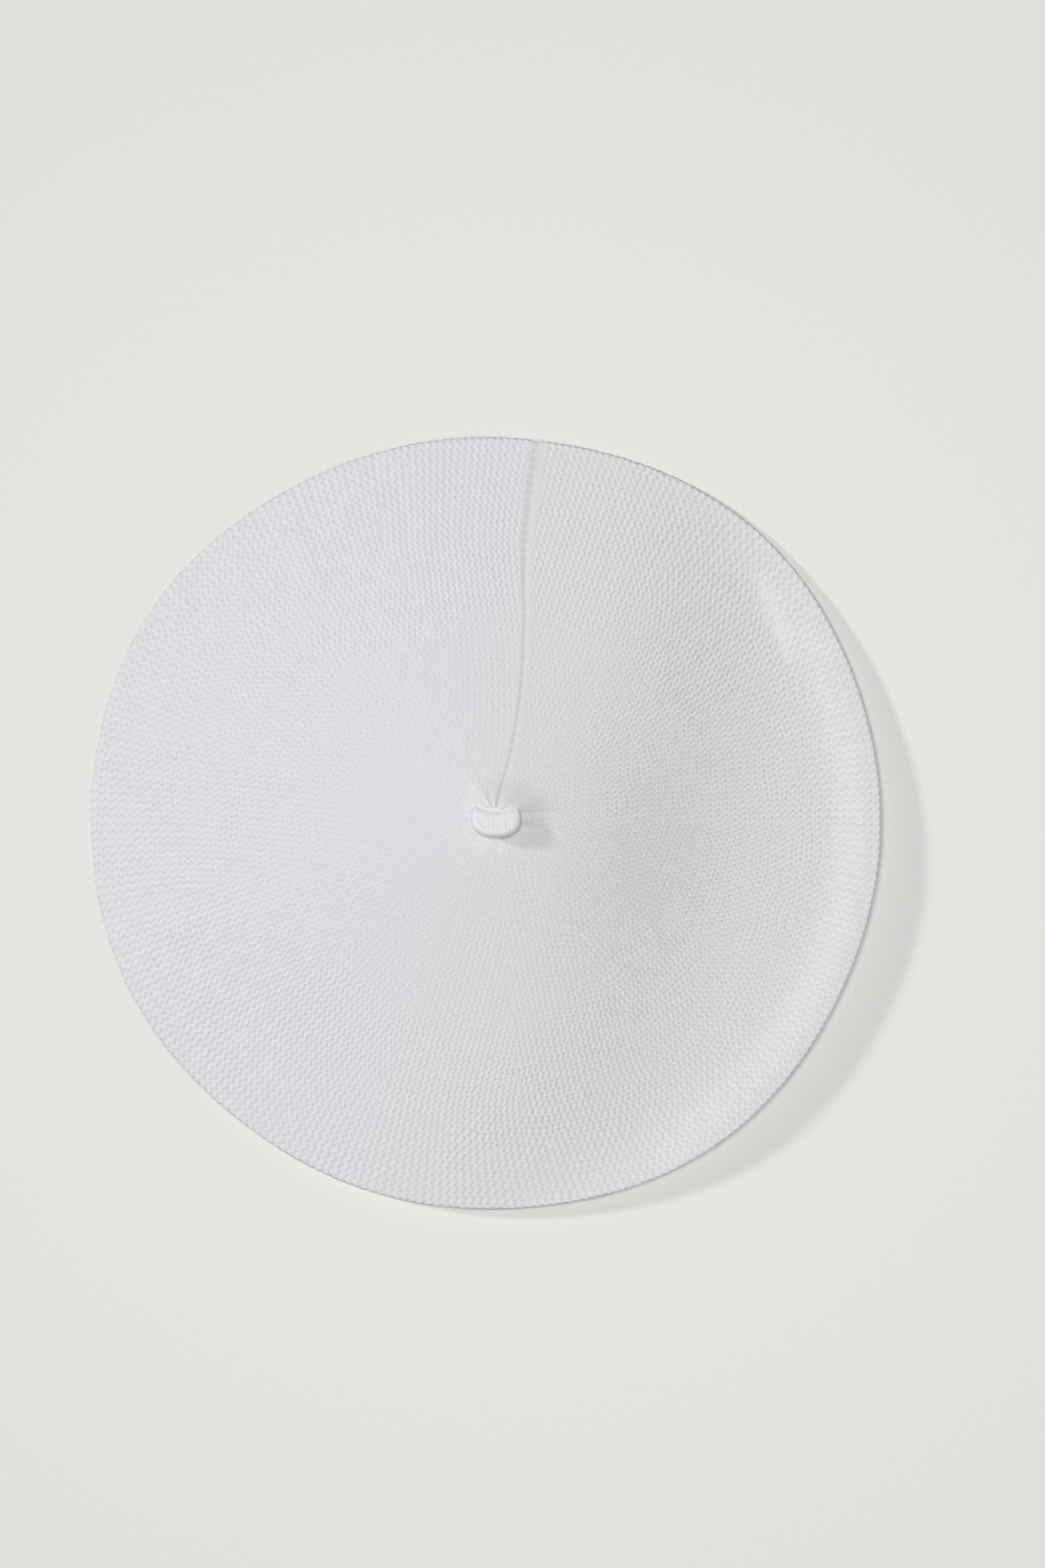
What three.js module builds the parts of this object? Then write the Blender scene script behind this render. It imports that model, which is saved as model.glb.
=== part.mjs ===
// A knitted beret lying flat with its crown up, in millimetres: +X right, +Y towards the radial
// seam, +Z up from the table. One shaped fabric shell makes the crown, the rim and the underside;
// a seam runs inside it from the stalk to the head opening, and a folded hem holds the elastic.
import * as THREE from "three";

// Outline of the rim seen from above: a mean radius and a few gentle waves round the edge.
const RIM_RADIUS = 139.6;
const RIM_WAVES = [
  { lobes: 2, size: 1.6, peak: -1 },
  { lobes: 3, size: 1.1, peak: 50 },
  { lobes: 4, size: 0.6, peak: 43 },
  { lobes: 7, size: 0.4, peak: 48 },
];
const APEX = new THREE.Vector2(3.3, 2.6); // where the stalk stands, beside the outline's centre

// Section of the fabric shell.
const FABRIC = 2.4; // thickness of the knit
const CROWN_HEIGHT = 26; // outside of the crown at the stalk
const RIM_HEIGHT = 10.5; // the folded edge
const RIM_DEPTH = 5; // how far the fold's round reaches in from the edge
const APEX_BLUNTING = 7; // radius over which the cone's point is rounded off
const OPENING_RADIUS = 92.3; // cut edge of the underside, where the hem is linked on
const AROUND = 60; // facets round every turned piece

// The crown has slumped on one side: a fold line, a shoulder before it and a lower rim beyond it.
const FOLD_BEARING = degrees(-13.6);
const FOLD_START = 36;
const FOLD_WIDTH = 56;
const SLUMP = 5.2;
const SHOULDER = { height: 1.6, out: 34, spread: 24 };
const LOW_RIM = { drop: 2.6, bearing: degrees(58), halfWidth: degrees(45) };
const LOFT_FULL = 9; // height at which the upper sheet follows a dent fully

// Hem: a strip folded in half round the elastic, lying flat on the table.
const HEM_FOLD_RADIUS = 78;
const HEM_EDGE_RADIUS = 92;
const HEM_FABRIC = 1.8;
const HEM_HEIGHT = 5;
const ELASTIC = { inner: 81, outer: 89.5, thickness: 0.8 };
const HEM_THREAD = { radius: 93.3, height: 3.5, thickness: 1.4 };

// Seam allowance inside the shell: a ridge of linked edges.
const SEAM = { width: 2.6, thickness: 1.2, clearance: 0.55, steps: 110 };
const SEAM_RIM_BEARING = 82.4; // degrees, where the seam crosses the rim
const SEAM_START = 0.09;
const SEAM_TURN = 0.905;
const SEAM_END = 0.705;

// Stalk: a short flat tab of double knit that stands up and nods over towards -Y.
const STALK = { halfWidth: 9.2, length: 17.5, halfThickness: 2.1, root: 4.4, bendRadius: 4.6 };
const STALK_BEND = degrees(68);
const STALK_FOOT = 2.2; // length cut off its round root to stand on the crown
const GAP = 0.4; // clearance between neighbouring pieces
const ROSETTE = { radius: 2.7, thread: 0.8 };

function degrees(d) {
  return THREE.MathUtils.degToRad(d);
}

function rimRadius(bearing) {
  let radius = RIM_RADIUS;
  for (const wave of RIM_WAVES) {
    radius += wave.size * Math.cos(wave.lobes * (bearing - degrees(wave.peak)));
  }
  return radius;
}

// A point at share t of the way from the stalk to the rim, in plan.
function plan(t, bearing) {
  const radius = t * rimRadius(bearing);
  const x = APEX.x * (1 - t) + radius * Math.cos(bearing);
  const y = APEX.y * (1 - t) + radius * Math.sin(bearing);
  return new THREE.Vector2(x, y);
}

// How much the upper sheet has sunk below an even cone at a place in plan.
function dent(place, t, bearing) {
  const out = place.x * Math.cos(FOLD_BEARING) + place.y * Math.sin(FOLD_BEARING);
  const along = place.y * Math.cos(FOLD_BEARING) - place.x * Math.sin(FOLD_BEARING);
  const slump = SLUMP * THREE.MathUtils.smoothstep(out, FOLD_START, FOLD_START + FOLD_WIDTH);
  const fromShoulder = (out - SHOULDER.out) ** 2 + along ** 2;
  const shoulder = SHOULDER.height * Math.exp(-fromShoulder / (2 * SHOULDER.spread ** 2));
  let turn = bearing - LOW_RIM.bearing;
  turn = Math.atan2(Math.sin(turn), Math.cos(turn));
  const nearLowRim = Math.max(0, 1 - Math.abs(turn) / LOW_RIM.halfWidth);
  const lowRim = LOW_RIM.drop * THREE.MathUtils.smoothstep(nearLowRim, 0, 1);
  return slump * (1 - t ** 9) - shoulder * (1 - t ** 4) + lowRim * t ** 4;
}

// Height of the outside of the crown, before any dent.
function coneHeight(t) {
  const blunt = APEX_BLUNTING / RIM_RADIUS;
  const rise = Math.sqrt(t * t + blunt * blunt) - blunt;
  return CROWN_HEIGHT - (CROWN_HEIGHT - RIM_HEIGHT) * rise;
}

// Height of the outside of the crown where it carries the stalk.
function apexHeight() {
  return coneHeight(0) - dent(APEX, 0, 0);
}

// Lays a turned piece into the beret's own outline. Lofty pieces also follow the crown's dents.
function lie(geometry, lofty) {
  const position = geometry.getAttribute("position");
  for (let i = 0; i < position.count; i++) {
    const x = position.getX(i);
    const y = position.getY(i);
    let z = position.getZ(i);
    const t = Math.hypot(x, y) / RIM_RADIUS;
    const bearing = Math.atan2(y, x);
    const place = plan(t, bearing);
    if (lofty) {
      z -= dent(place, t, bearing) * THREE.MathUtils.smoothstep(z, FABRIC, LOFT_FULL);
    }
    position.setXYZ(i, place.x, place.y, z);
  }
  return geometry;
}

// Turns a profile of [radius, height] points about Z.
function turned(profile) {
  const points = profile.map(([radius, height]) => new THREE.Vector2(radius, height));
  return new THREE.LatheGeometry(points, AROUND).rotateX(Math.PI / 2);
}

// Points of an arc, centred at [radius, height], from one angle to another.
function arc(centre, reach, from, to, count) {
  const points = [];
  for (let i = 0; i <= count; i++) {
    const angle = degrees(from + ((to - from) * i) / count);
    const radius = centre[0] + reach[0] * Math.cos(angle);
    const height = centre[1] + reach[1] * Math.sin(angle);
    points.push([radius, height]);
  }
  return points;
}

// One sheet of the crown, from the stalk out to the start of the rim's fold.
function crownLine(lowered) {
  const stations = [0, 0.03, 0.07, 0.14, 0.24, 0.35, 0.46, 0.57, 0.67, 0.76, 0.83, 0.89, 0.935];
  return stations.map((t) => [t * RIM_RADIUS, coneHeight(t) - lowered]);
}

function knitBody() {
  const centre = [RIM_RADIUS - RIM_DEPTH, RIM_HEIGHT / 2];
  const outerFold = arc(centre, [RIM_DEPTH, RIM_HEIGHT / 2], 78, -90, 9);
  const innerReach = [RIM_DEPTH - FABRIC, RIM_HEIGHT / 2 - FABRIC];
  const innerFold = arc(centre, innerReach, -90, 78, 6);
  const floor = [118, 105];
  const underside = [...floor, OPENING_RADIUS].map((radius) => [radius, 0]);
  const lining = [OPENING_RADIUS, ...floor.toReversed()].map((radius) => [radius, FABRIC]);
  const ceiling = crownLine(FABRIC).reverse();
  const outside = [...crownLine(0), ...outerFold, ...underside];
  const inside = [...lining, ...innerFold, ...ceiling];
  return lie(turned([...outside, ...inside].reverse()), true);
}

function headBand() {
  const middle = HEM_HEIGHT / 2;
  const centre = [HEM_FOLD_RADIUS + middle, middle];
  const outerFold = arc(centre, [middle, middle], 270, 90, 6);
  const slit = middle - HEM_FABRIC;
  const innerFold = arc(centre, [slit, slit], 90, 270, 4);
  const upperLeg = [
    [HEM_EDGE_RADIUS, HEM_HEIGHT],
    [HEM_EDGE_RADIUS, HEM_HEIGHT - HEM_FABRIC],
  ];
  const lowerLeg = [
    [HEM_EDGE_RADIUS, HEM_FABRIC],
    [HEM_EDGE_RADIUS, 0],
  ];
  const profile = [...outerFold, ...upperLeg, ...innerFold, ...lowerLeg, outerFold[0]];
  return lie(turned(profile.reverse()), false);
}

function hemElastic() {
  const low = (HEM_HEIGHT - ELASTIC.thickness) / 2;
  const high = low + ELASTIC.thickness;
  const profile = [
    [ELASTIC.inner, low],
    [ELASTIC.outer, low],
    [ELASTIC.outer, high],
    [ELASTIC.inner, high],
    [ELASTIC.inner, low],
  ];
  return lie(turned(profile), false);
}

function hemThread() {
  const reach = HEM_THREAD.thickness / 2;
  const profile = arc([HEM_THREAD.radius, HEM_THREAD.height], [reach, reach], 0, 360, 8);
  return lie(turned(profile), false);
}

// Bearing of the seam at share t of the way out: straight, with a curl as it meets the stalk.
function seamBearing(t) {
  const lean = 11 * (1 - t) ** 2;
  const curl = 24 * Math.exp(-t / 0.05);
  return degrees(SEAM_RIM_BEARING - lean + curl);
}

// A point on the seam's route under the crown, or on the inside of the underside.
function seamPoint(t, overhead) {
  const bearing = seamBearing(t);
  const place = plan(t, bearing);
  const offset = SEAM.clearance + SEAM.thickness / 2;
  const ceiling = coneHeight(t) - FABRIC - dent(place, t, bearing);
  const z = overhead ? ceiling - offset : FABRIC + offset;
  return new THREE.Vector3(place.x, place.y, z);
}

function radialSeam() {
  const route = [];
  for (let i = 0; i <= 10; i++) {
    route.push(seamPoint(SEAM_START + ((SEAM_TURN - SEAM_START) * i) / 10, true));
  }
  const above = seamPoint(SEAM_TURN, true);
  const below = seamPoint(SEAM_TURN, false);
  const bend = seamPoint(SEAM_TURN + 0.02, false);
  bend.z = (above.z + below.z) / 2;
  route.push(bend);
  for (let i = 0; i <= 4; i++) {
    route.push(seamPoint(SEAM_TURN + ((SEAM_END - SEAM_TURN) * i) / 4, false));
  }
  const section = new THREE.Shape();
  section.absellipse(0, 0, SEAM.thickness / 2, SEAM.width / 2, 0, 2 * Math.PI);
  return new THREE.ExtrudeGeometry(section, {
    steps: SEAM.steps,
    curveSegments: 4,
    extrudePath: new THREE.CatmullRomCurve3(route),
  });
}

// Rounds a coordinate of the unit sphere towards a box.
function squared(value, power) {
  return Math.sign(value) * Math.abs(value) ** power;
}

function stalk() {
  const geometry = new THREE.SphereGeometry(1, 24, 16);
  const position = geometry.getAttribute("position");
  const foot = apexHeight() + GAP;
  const bendLength = STALK.bendRadius * STALK_BEND;
  for (let i = 0; i < position.count; i++) {
    const across = STALK.halfWidth * squared(position.getX(i), 0.8);
    const through = STALK.halfThickness * squared(position.getZ(i), 0.75);
    const whole = (STALK.length / 2) * (1 + squared(position.getY(i), 0.85));
    const length = Math.max(whole, STALK_FOOT) - STALK_FOOT;
    const angle = Math.min(length, bendLength) / STALK.bendRadius;
    const straight = Math.max(length - bendLength, 0);
    const reach = STALK.bendRadius - through;
    const back = STALK.bendRadius - reach * Math.cos(angle) + straight * Math.sin(angle);
    const up = reach * Math.sin(angle) + straight * Math.cos(angle);
    position.setXYZ(i, APEX.x + across, APEX.y + STALK.root - back, foot + up);
  }
  return geometry;
}

function stalkStitches() {
  const geometry = new THREE.TorusGeometry(ROSETTE.radius, ROSETTE.thread, 8, 20);
  const ceiling = apexHeight() - FABRIC;
  return geometry.translate(APEX.x, APEX.y, ceiling - ROSETTE.thread - 2 * GAP);
}

const COTTON = { color: 0xe8e8ea, roughness: 0.95, metalness: 0 };
const THREAD = { color: 0xe6e6e2, roughness: 0.8, metalness: 0 };
const RUBBER_CORE = { color: 0xdedcd4, roughness: 0.7, metalness: 0 };

const beret = new THREE.Group();

function addPiece(name, geometry, finish) {
  const mesh = new THREE.Mesh(geometry, new THREE.MeshStandardMaterial(finish));
  mesh.name = name;
  beret.add(mesh);
}

addPiece("knit_body", knitBody(), COTTON);
addPiece("head_band", headBand(), COTTON);
addPiece("hem_elastic", hemElastic(), RUBBER_CORE);
addPiece("hem_stitching", hemThread(), THREAD);
addPiece("radial_seam", radialSeam(), COTTON);
addPiece("stalk", stalk(), COTTON);
addPiece("stalk_stitches", stalkStitches(), THREAD);

// The origin is on the table under the middle of the whole beret.
const box = new THREE.Box3().setFromObject(beret);
const middle = box.getCenter(new THREE.Vector3());
beret.position.set(-middle.x, -middle.y, -box.min.z);

export default beret;
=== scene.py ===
# %% [markdown]
# # A white knitted beret, lying flat
#
# The beret is one sheet of purl knitting. Its courses run from the stalk in the middle out to
# the rim and back underneath to a folded hem, and one radial seam closes the sheet. The packed
# solids give the size and the place of every piece. Here each soft solid is replaced by a piece
# that has its stitches in the surface.
#
# All sizes below are in millimetres until a mesh is written, because a knitter measures so.

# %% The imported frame
import math

import bpy
import numpy as np
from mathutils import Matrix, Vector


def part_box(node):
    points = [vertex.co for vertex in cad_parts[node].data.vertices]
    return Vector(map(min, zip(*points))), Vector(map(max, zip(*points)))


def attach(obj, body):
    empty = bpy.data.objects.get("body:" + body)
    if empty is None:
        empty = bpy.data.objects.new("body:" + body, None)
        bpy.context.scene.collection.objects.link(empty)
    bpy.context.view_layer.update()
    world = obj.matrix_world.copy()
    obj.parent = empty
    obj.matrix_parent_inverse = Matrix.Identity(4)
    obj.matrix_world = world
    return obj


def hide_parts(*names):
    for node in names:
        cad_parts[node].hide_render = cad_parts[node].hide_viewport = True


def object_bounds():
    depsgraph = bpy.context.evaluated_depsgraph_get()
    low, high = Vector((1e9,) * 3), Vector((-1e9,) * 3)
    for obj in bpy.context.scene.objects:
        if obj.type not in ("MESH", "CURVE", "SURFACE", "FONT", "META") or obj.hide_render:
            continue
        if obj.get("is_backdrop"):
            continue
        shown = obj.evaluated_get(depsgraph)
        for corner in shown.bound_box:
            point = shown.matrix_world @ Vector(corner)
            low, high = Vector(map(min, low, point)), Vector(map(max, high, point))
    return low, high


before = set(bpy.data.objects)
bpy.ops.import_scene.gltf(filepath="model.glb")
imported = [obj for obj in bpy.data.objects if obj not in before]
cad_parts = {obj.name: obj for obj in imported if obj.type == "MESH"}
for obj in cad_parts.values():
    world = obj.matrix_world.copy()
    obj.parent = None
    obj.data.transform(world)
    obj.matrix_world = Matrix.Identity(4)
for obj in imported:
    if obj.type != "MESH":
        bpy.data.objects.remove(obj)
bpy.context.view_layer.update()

MM = 0.001
print("packed nodes:", sorted(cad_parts))

# %% [markdown]
# ## Camera
#
# The beret is seen from straight above. A long lens from nearly two metres keeps the outline
# true, as is usual for clothes laid flat. A shift isn't needed: the camera just stands a
# little to one side of the middle.

# %% Camera
VIEW_HEIGHT = 559.3
CAMERA_HEIGHT = 1900.0
CAMERA_OFFSET = (13.1, 13.9)
SENSOR = 36.0

camera_data = bpy.data.cameras.new("overhead_camera")
camera_data.sensor_width = SENSOR
camera_data.lens = SENSOR * CAMERA_HEIGHT / VIEW_HEIGHT
camera_data.clip_end = 20
camera = bpy.data.objects.new("overhead_camera", camera_data)
camera.location = (CAMERA_OFFSET[0] * MM, CAMERA_OFFSET[1] * MM, CAMERA_HEIGHT * MM)
bpy.context.scene.collection.objects.link(camera)
bpy.context.scene.camera = camera
bpy.context.scene.view_settings.view_transform = "Standard"
print("lens:", round(camera_data.lens, 1), "mm")

# %% [markdown]
# ## Light
#
# Most of the light comes from one soft box high above the table, tipped a little to the left, so
# the cloth has hardly any dark contact line. A weaker lamp low on the left models the crown and
# throws the one soft shadow to the right. A white card opposite lifts the far rim. Sun lamps
# stand for all three: their light doesn't fall off across the beret, and a sun's angle sets how
# soft its shadow is. The world adds the faint light of the room's walls, and shows the camera a
# pale wall.

# %% Light
ROOM_LIGHT = 0.07
WALL = (0.72, 0.72, 0.71)
LIGHT_BEARING = -18.8  # the way the light travels, in degrees


def lamp(name, elevation, strength, softness, tint, turned=0):
    """A distant lamp at an elevation, in degrees; strength is its light on a sheet facing it."""
    data = bpy.data.lights.new(name, "SUN")
    data.energy = strength * math.pi
    data.angle = math.radians(softness)
    data.color = tint
    holder = bpy.data.objects.new(name, data)
    holder.rotation_euler = (0, math.radians(90 - elevation), math.radians(LIGHT_BEARING + 180 + turned))
    bpy.context.scene.collection.objects.link(holder)


lamp("low_lamp", 28, 0.384, 7, (1.0, 0.995, 0.99))
lamp("soft_box", 86, 0.678, 22, (1.0, 1.0, 1.0))
lamp("white_card", 22, 0.13, 50, (1.0, 1.0, 1.0), turned=180)

world = bpy.data.worlds.new("white_room")
bpy.context.scene.world = world
world.use_nodes = True
nodes, links = world.node_tree.nodes, world.node_tree.links
wall = nodes.new("ShaderNodeBackground")
wall.inputs["Color"].default_value = (*WALL, 1)
nodes["Background"].inputs["Color"].default_value = (ROOM_LIGHT, ROOM_LIGHT, ROOM_LIGHT, 1)
path, choice = nodes.new("ShaderNodeLightPath"), nodes.new("ShaderNodeMixShader")
links.new(path.outputs["Is Camera Ray"], choice.inputs[0])
links.new(nodes["Background"].outputs[0], choice.inputs[1])
links.new(wall.outputs[0], choice.inputs[2])
links.new(choice.outputs[0], nodes["World Output"].inputs["Surface"])

# %% [markdown]
# ## Small tools
#
# Numpy arrays hold the points, because a knitted surface needs hundreds of thousands of them.
# Two tools shape most of what follows: a smooth step from 0 to 1, and a gentle noise made of
# crossing waves. Noise from a texture would do for a bump, but here it has to move real points.

# %% Small tools


def smoothstep(value, low, high):
    """0 below low, 1 above high, and a smooth rise between."""
    share = np.clip((value - low) / (high - low), 0, 1)
    return share * share * (3 - 2 * share)


def waves(x, y, size, seed, count=18):
    """Smooth noise from about -1 to 1: plane waves about size long, crossing at random."""
    random = np.random.default_rng(seed)
    total = np.zeros(np.broadcast(x, y).shape)
    for _ in range(count):
        heading, start = random.uniform(0, 2 * math.pi, 2)
        turn = 2 * math.pi / (size * random.uniform(0.7, 1.5))
        total += np.cos(turn * (x * math.cos(heading) + y * math.sin(heading)) + start)
    return total / math.sqrt(count)


trial = waves(*np.meshgrid(np.arange(60), np.arange(60)), 17, 3)
print("the noise runs from", trial.min().round(1), "to", trial.max().round(1))

# %% [markdown]
# ## Writing a mesh
#
# A mesh can be built point by point, but that is slow for half a million points. The whole
# arrays are handed over in one call each instead. Every piece rides the root body, because a
# beret has no joint.

# %% Writing a mesh


def write_mesh(name, points, *faces):
    """A smooth-shaded object in the root body, from points in millimetres and face arrays."""
    mesh = bpy.data.meshes.new(name)
    mesh.vertices.add(len(points))
    mesh.vertices.foreach_set("co", (points * MM).astype(np.float32).ravel())
    sizes = np.concatenate([np.full(len(f), f.shape[1]) for f in faces])
    mesh.loops.add(int(sizes.sum()))
    mesh.polygons.add(len(sizes))
    mesh.polygons.foreach_set("loop_start", np.concatenate([[0], np.cumsum(sizes)[:-1]]))
    mesh.loops.foreach_set("vertex_index", np.concatenate([f.ravel() for f in faces]))
    mesh.polygons.foreach_set("use_smooth", np.ones(len(sizes), bool))
    mesh.update(calc_edges=True)
    piece = bpy.data.objects.new(name, mesh)
    bpy.context.scene.collection.objects.link(piece)
    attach(piece, "root")
    print(name, "has", len(points), "points and", len(sizes), "faces")
    return piece


print("meshes are written at", MM, "metres to a millimetre")

# %% [markdown]
# ## The beret's sizes
#
# The crown is a low cone whose top carries the stalk. Laid down, its right half has slumped into
# a shallow valley behind a standing rim, while its left rim lies nearly flat. The outline is a
# circle with a few soft waves. The outline and the cone follow the solids' own rules, so the
# fine surface lies close to them. The rim is lower than theirs and the cloth is thinner.

# %% The beret's sizes
RIM_RADIUS = 139.6
RIM_WAVES = [(2, 1.6, -1), (3, 1.1, 50), (4, 0.6, 43), (7, 0.4, 48)]  # lobes, size, peak
RIM_HEIGHT = 9.3
RIM_DEPTH = 1.0
RIM_TOP = 2.0  # the rim bends over within this height, and leans in below it
RIM_LEAN = 4.0
CROWN_HEIGHT = 26.0
APEX = np.array([3.3, 2.6])
APEX_BLUNTING = 14.0
FABRIC = 1.9
OPENING_RADIUS = 92.3
FOLD_BEARING = math.radians(-13.6)
SEAM_BEARING = 82.4
SLUMP = 7.5
SLUMP_SPAN = (24, 96)  # where the slumped side starts and stops falling
SHOULDER = (1.6, 32, 21)  # height, distance out and spread
HIGH_RIM = -25
RIM_FALL = (75, 140)  # degrees over which the rim falls, to its left and to its right
RIM_DROP = 6.5
NECK = 4.6  # how high the cloth climbs the back of the stalk
TUCK = 2.2  # and its ridge on the right of the stalk
ROLL = 2.8  # how much more the rim stands up on the right

rosette_low, rosette_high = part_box("stalk_stitches")
SHIFT = (np.array(rosette_low) + np.array(rosette_high))[:2] / 2 / MM - APEX
print("the forms are moved by", SHIFT.round(2), "mm to the packed frame")

# %% [markdown]
# ## How the crown sank
#
# The form could be sculpted, but then its parts wouldn't follow one another. Here it is a sum of
# a few named slumps, each a height that depends on the place: the valley, the shoulder left of
# it, the roll of the high rim and the fall of the low one. Round the stalk the cloth climbs a
# little, because the stalk's root draws it up.
#
# One fault is known. Nothing here stops the crown at the layer below it. At a bearing of 15 to 45
# degrees it sinks just under the lining, which shows as a small smooth streak. Along the low rim
# the two layers also cross, but out of sight.

# %% How the crown sank


def angle_from(bearing, middle):
    """The turn from middle to bearing, from -180 to 180 degrees, in radians."""
    return np.angle(np.exp(1j * (bearing - middle)))


def rim_radius(bearing):
    """How far the outline is from the middle."""
    ripple = sum(s * np.cos(n * (bearing - math.radians(p))) for n, s, p in RIM_WAVES)
    return RIM_RADIUS + ripple


def cone_height(t):
    """Height of the outside of the crown, before it sank; t is the share of the way out."""
    blunt = APEX_BLUNTING / RIM_RADIUS
    rise = (np.sqrt(t * t + blunt**2) - blunt) / (math.hypot(1, blunt) - blunt)
    return CROWN_HEIGHT - (CROWN_HEIGHT - RIM_HEIGHT) * rise


def sunk(x, y, t, bearing):
    """How far the upper sheet lies below the even cone."""
    out = x * math.cos(FOLD_BEARING) + y * math.sin(FOLD_BEARING)
    along = y * math.cos(FOLD_BEARING) - x * math.sin(FOLD_BEARING)
    valley = SLUMP * smoothstep(out, *SLUMP_SPAN)
    shoulder = SHOULDER[0] * np.exp(-((out - SHOULDER[1]) ** 2 + along**2) / (2 * SHOULDER[2] ** 2))
    roll = ROLL * np.exp(-(((t - 0.96) / 0.052) ** 2)) * smoothstep(out, 60, 115)
    turn = np.degrees(angle_from(bearing, math.radians(HIGH_RIM)))
    away = np.abs(turn) / np.where(turn > 0, *RIM_FALL)
    fallen = valley * (1 - t**11) + RIM_DROP * smoothstep(away, 0.1, 1) * t**1.5
    return fallen - shoulder * (1 - t**4) - roll


def climbed(x, y):
    """How far the outside of the crown climbs the stalk's back and right side."""
    aside, behind = x - APEX[0], y - APEX[1]
    neck = NECK * smoothstep(behind, -0.2, 2.2) * smoothstep(-behind, -15, -2.2)
    left, right = np.exp(-(np.abs(aside / 8.2) ** 5)), np.exp(-(np.abs(aside / 13) ** 2.5))
    neck = neck * np.where(aside < 0, left, right)
    tuck = TUCK * smoothstep(behind, -5.2, -0.6) * smoothstep(-behind, -9, 0.4)
    tuck = tuck * smoothstep(aside, 2, 8) * smoothstep(-aside, -21, -7)
    return np.maximum(neck, tuck) + 0.3 * np.minimum(neck, tuck)


print("before it sank, the crown is", CROWN_HEIGHT, "mm high and its rim", cone_height(1.0).round(1))

# %% [markdown]
# ## Laid in its place
#
# Every piece is first drawn as a turned form, by its distance from the stalk, its height and its
# bearing. One function then moves any such point to where the lying beret has it. So the seam,
# the ridge and the hem follow the same outline as the cloth, with no fitting by hand.

# %% Laid in its place


def lay(radius, height, bearing, lofty=True):
    """Moves points of a turned form, in millimetres, to where the lying beret has them."""
    t = radius / RIM_RADIUS
    reach = t * rim_radius(bearing)
    x = APEX[0] * (1 - t) + reach * np.cos(bearing)
    y = APEX[1] * (1 - t) + reach * np.sin(bearing)
    if lofty:
        share = np.clip((height - FABRIC) / (cone_height(t) - 2 * FABRIC), 0, 1)
        outer = np.clip((height - cone_height(t)) / FABRIC + 1, 0, 1)
        height = height - sunk(x, y, t, bearing) * share + climbed(x, y) * outer
    return np.stack([x + SHIFT[0], y + SHIFT[1], height + 0 * x], axis=-1)


def seam_bearing(t):
    """Bearing of the seam: straight, with a curl where it meets the stalk."""
    belly = 1.15 * np.exp(-(((t - 0.68) / 0.2) ** 2))
    return np.radians(SEAM_BEARING - 11 * (1 - t) ** 2 + belly + 24 * np.exp(-t / 0.05))


seam_ends = np.degrees([seam_bearing(0.0), seam_bearing(1.0)])
print("the seam leaves the stalk at", seam_ends[0].round(1), "degrees and ends at", seam_ends[1].round(1))

# %% [markdown]
# ## The section of the sheet
#
# Cut through from the stalk to the rim, the knitting is one line: over the crown, round the
# rim, back under to the opening, round its edge, and home again along the inside. The bends are
# arcs of ellipses and the crown is the cone's own curve.

# %% The section of the sheet
UNDER_LIFT = 0.45
FOLD_RADIUS = RIM_RADIUS - RIM_DEPTH
INNER_SETBACK = 1.8  # how much nearer the middle the inside of the fold turns
CROWN_END = 0.9905


def bow(centre, reach, start, end):
    """Points of an elliptic arc of the section, between two angles in degrees."""
    angle = np.radians(np.linspace(start, end, 60))
    return np.stack([centre[0] + reach[0] * np.cos(angle), centre[1] + reach[1] * np.sin(angle)], 1)


def crown_section(lowered):
    """Points of the crown's section from the middle outward."""
    t = np.linspace(0, CROWN_END, 300)
    return np.stack([t * RIM_RADIUS, cone_height(t) - lowered], 1)


EDGE = FABRIC / 2
FOLD_TOP = float(cone_height(FOLD_RADIUS / RIM_RADIUS))
shoulder_turn = bow((FOLD_RADIUS, FOLD_TOP - RIM_TOP), (RIM_DEPTH, RIM_TOP), 84, 0)
lean_reach = (RIM_LEAN, FOLD_TOP - RIM_TOP - UNDER_LIFT)
lean_turn = bow((RIM_RADIUS - RIM_LEAN, FOLD_TOP - RIM_TOP), lean_reach, 0, -90)
outer_fold = np.concatenate([shoulder_turn, lean_turn[1:]])
inner_reach = (INNER_SETBACK + RIM_DEPTH - FABRIC, FOLD_TOP / 2 - FABRIC)
inner_fold = bow((FOLD_RADIUS - INNER_SETBACK, FOLD_TOP / 2), inner_reach, -90, 84)
edge_turn = bow((OPENING_RADIUS + EDGE, EDGE + 0.2), (EDGE, EDGE - 0.2), 270, 90)
STRETCHES = [
    # part of the section, its points, and the spacing of its rings
    ("crown", crown_section(0), 0.5),
    ("rim", outer_fold, 0.45),
    ("underside", np.array([outer_fold[-1], edge_turn[0]]), 1.0),
    ("edge", edge_turn, 0.4),
    ("lining", np.array([edge_turn[-1], inner_fold[0]]), 1.4),
    ("inner_rim", inner_fold, 0.8),
    ("ceiling", crown_section(FABRIC)[::-1], 1.3),
]
print("the section has", len(STRETCHES), "parts:", [name for name, _, _ in STRETCHES])

# %% [markdown]
# ## Rings along the section
#
# Rings of points are spaced along that line, fine where the knit shows and coarser inside. Any
# place on the cloth is then two numbers, a length along the section and a bearing, and the
# stitches, the seam and the map can all be written in them.

# %% Rings along the section


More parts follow.
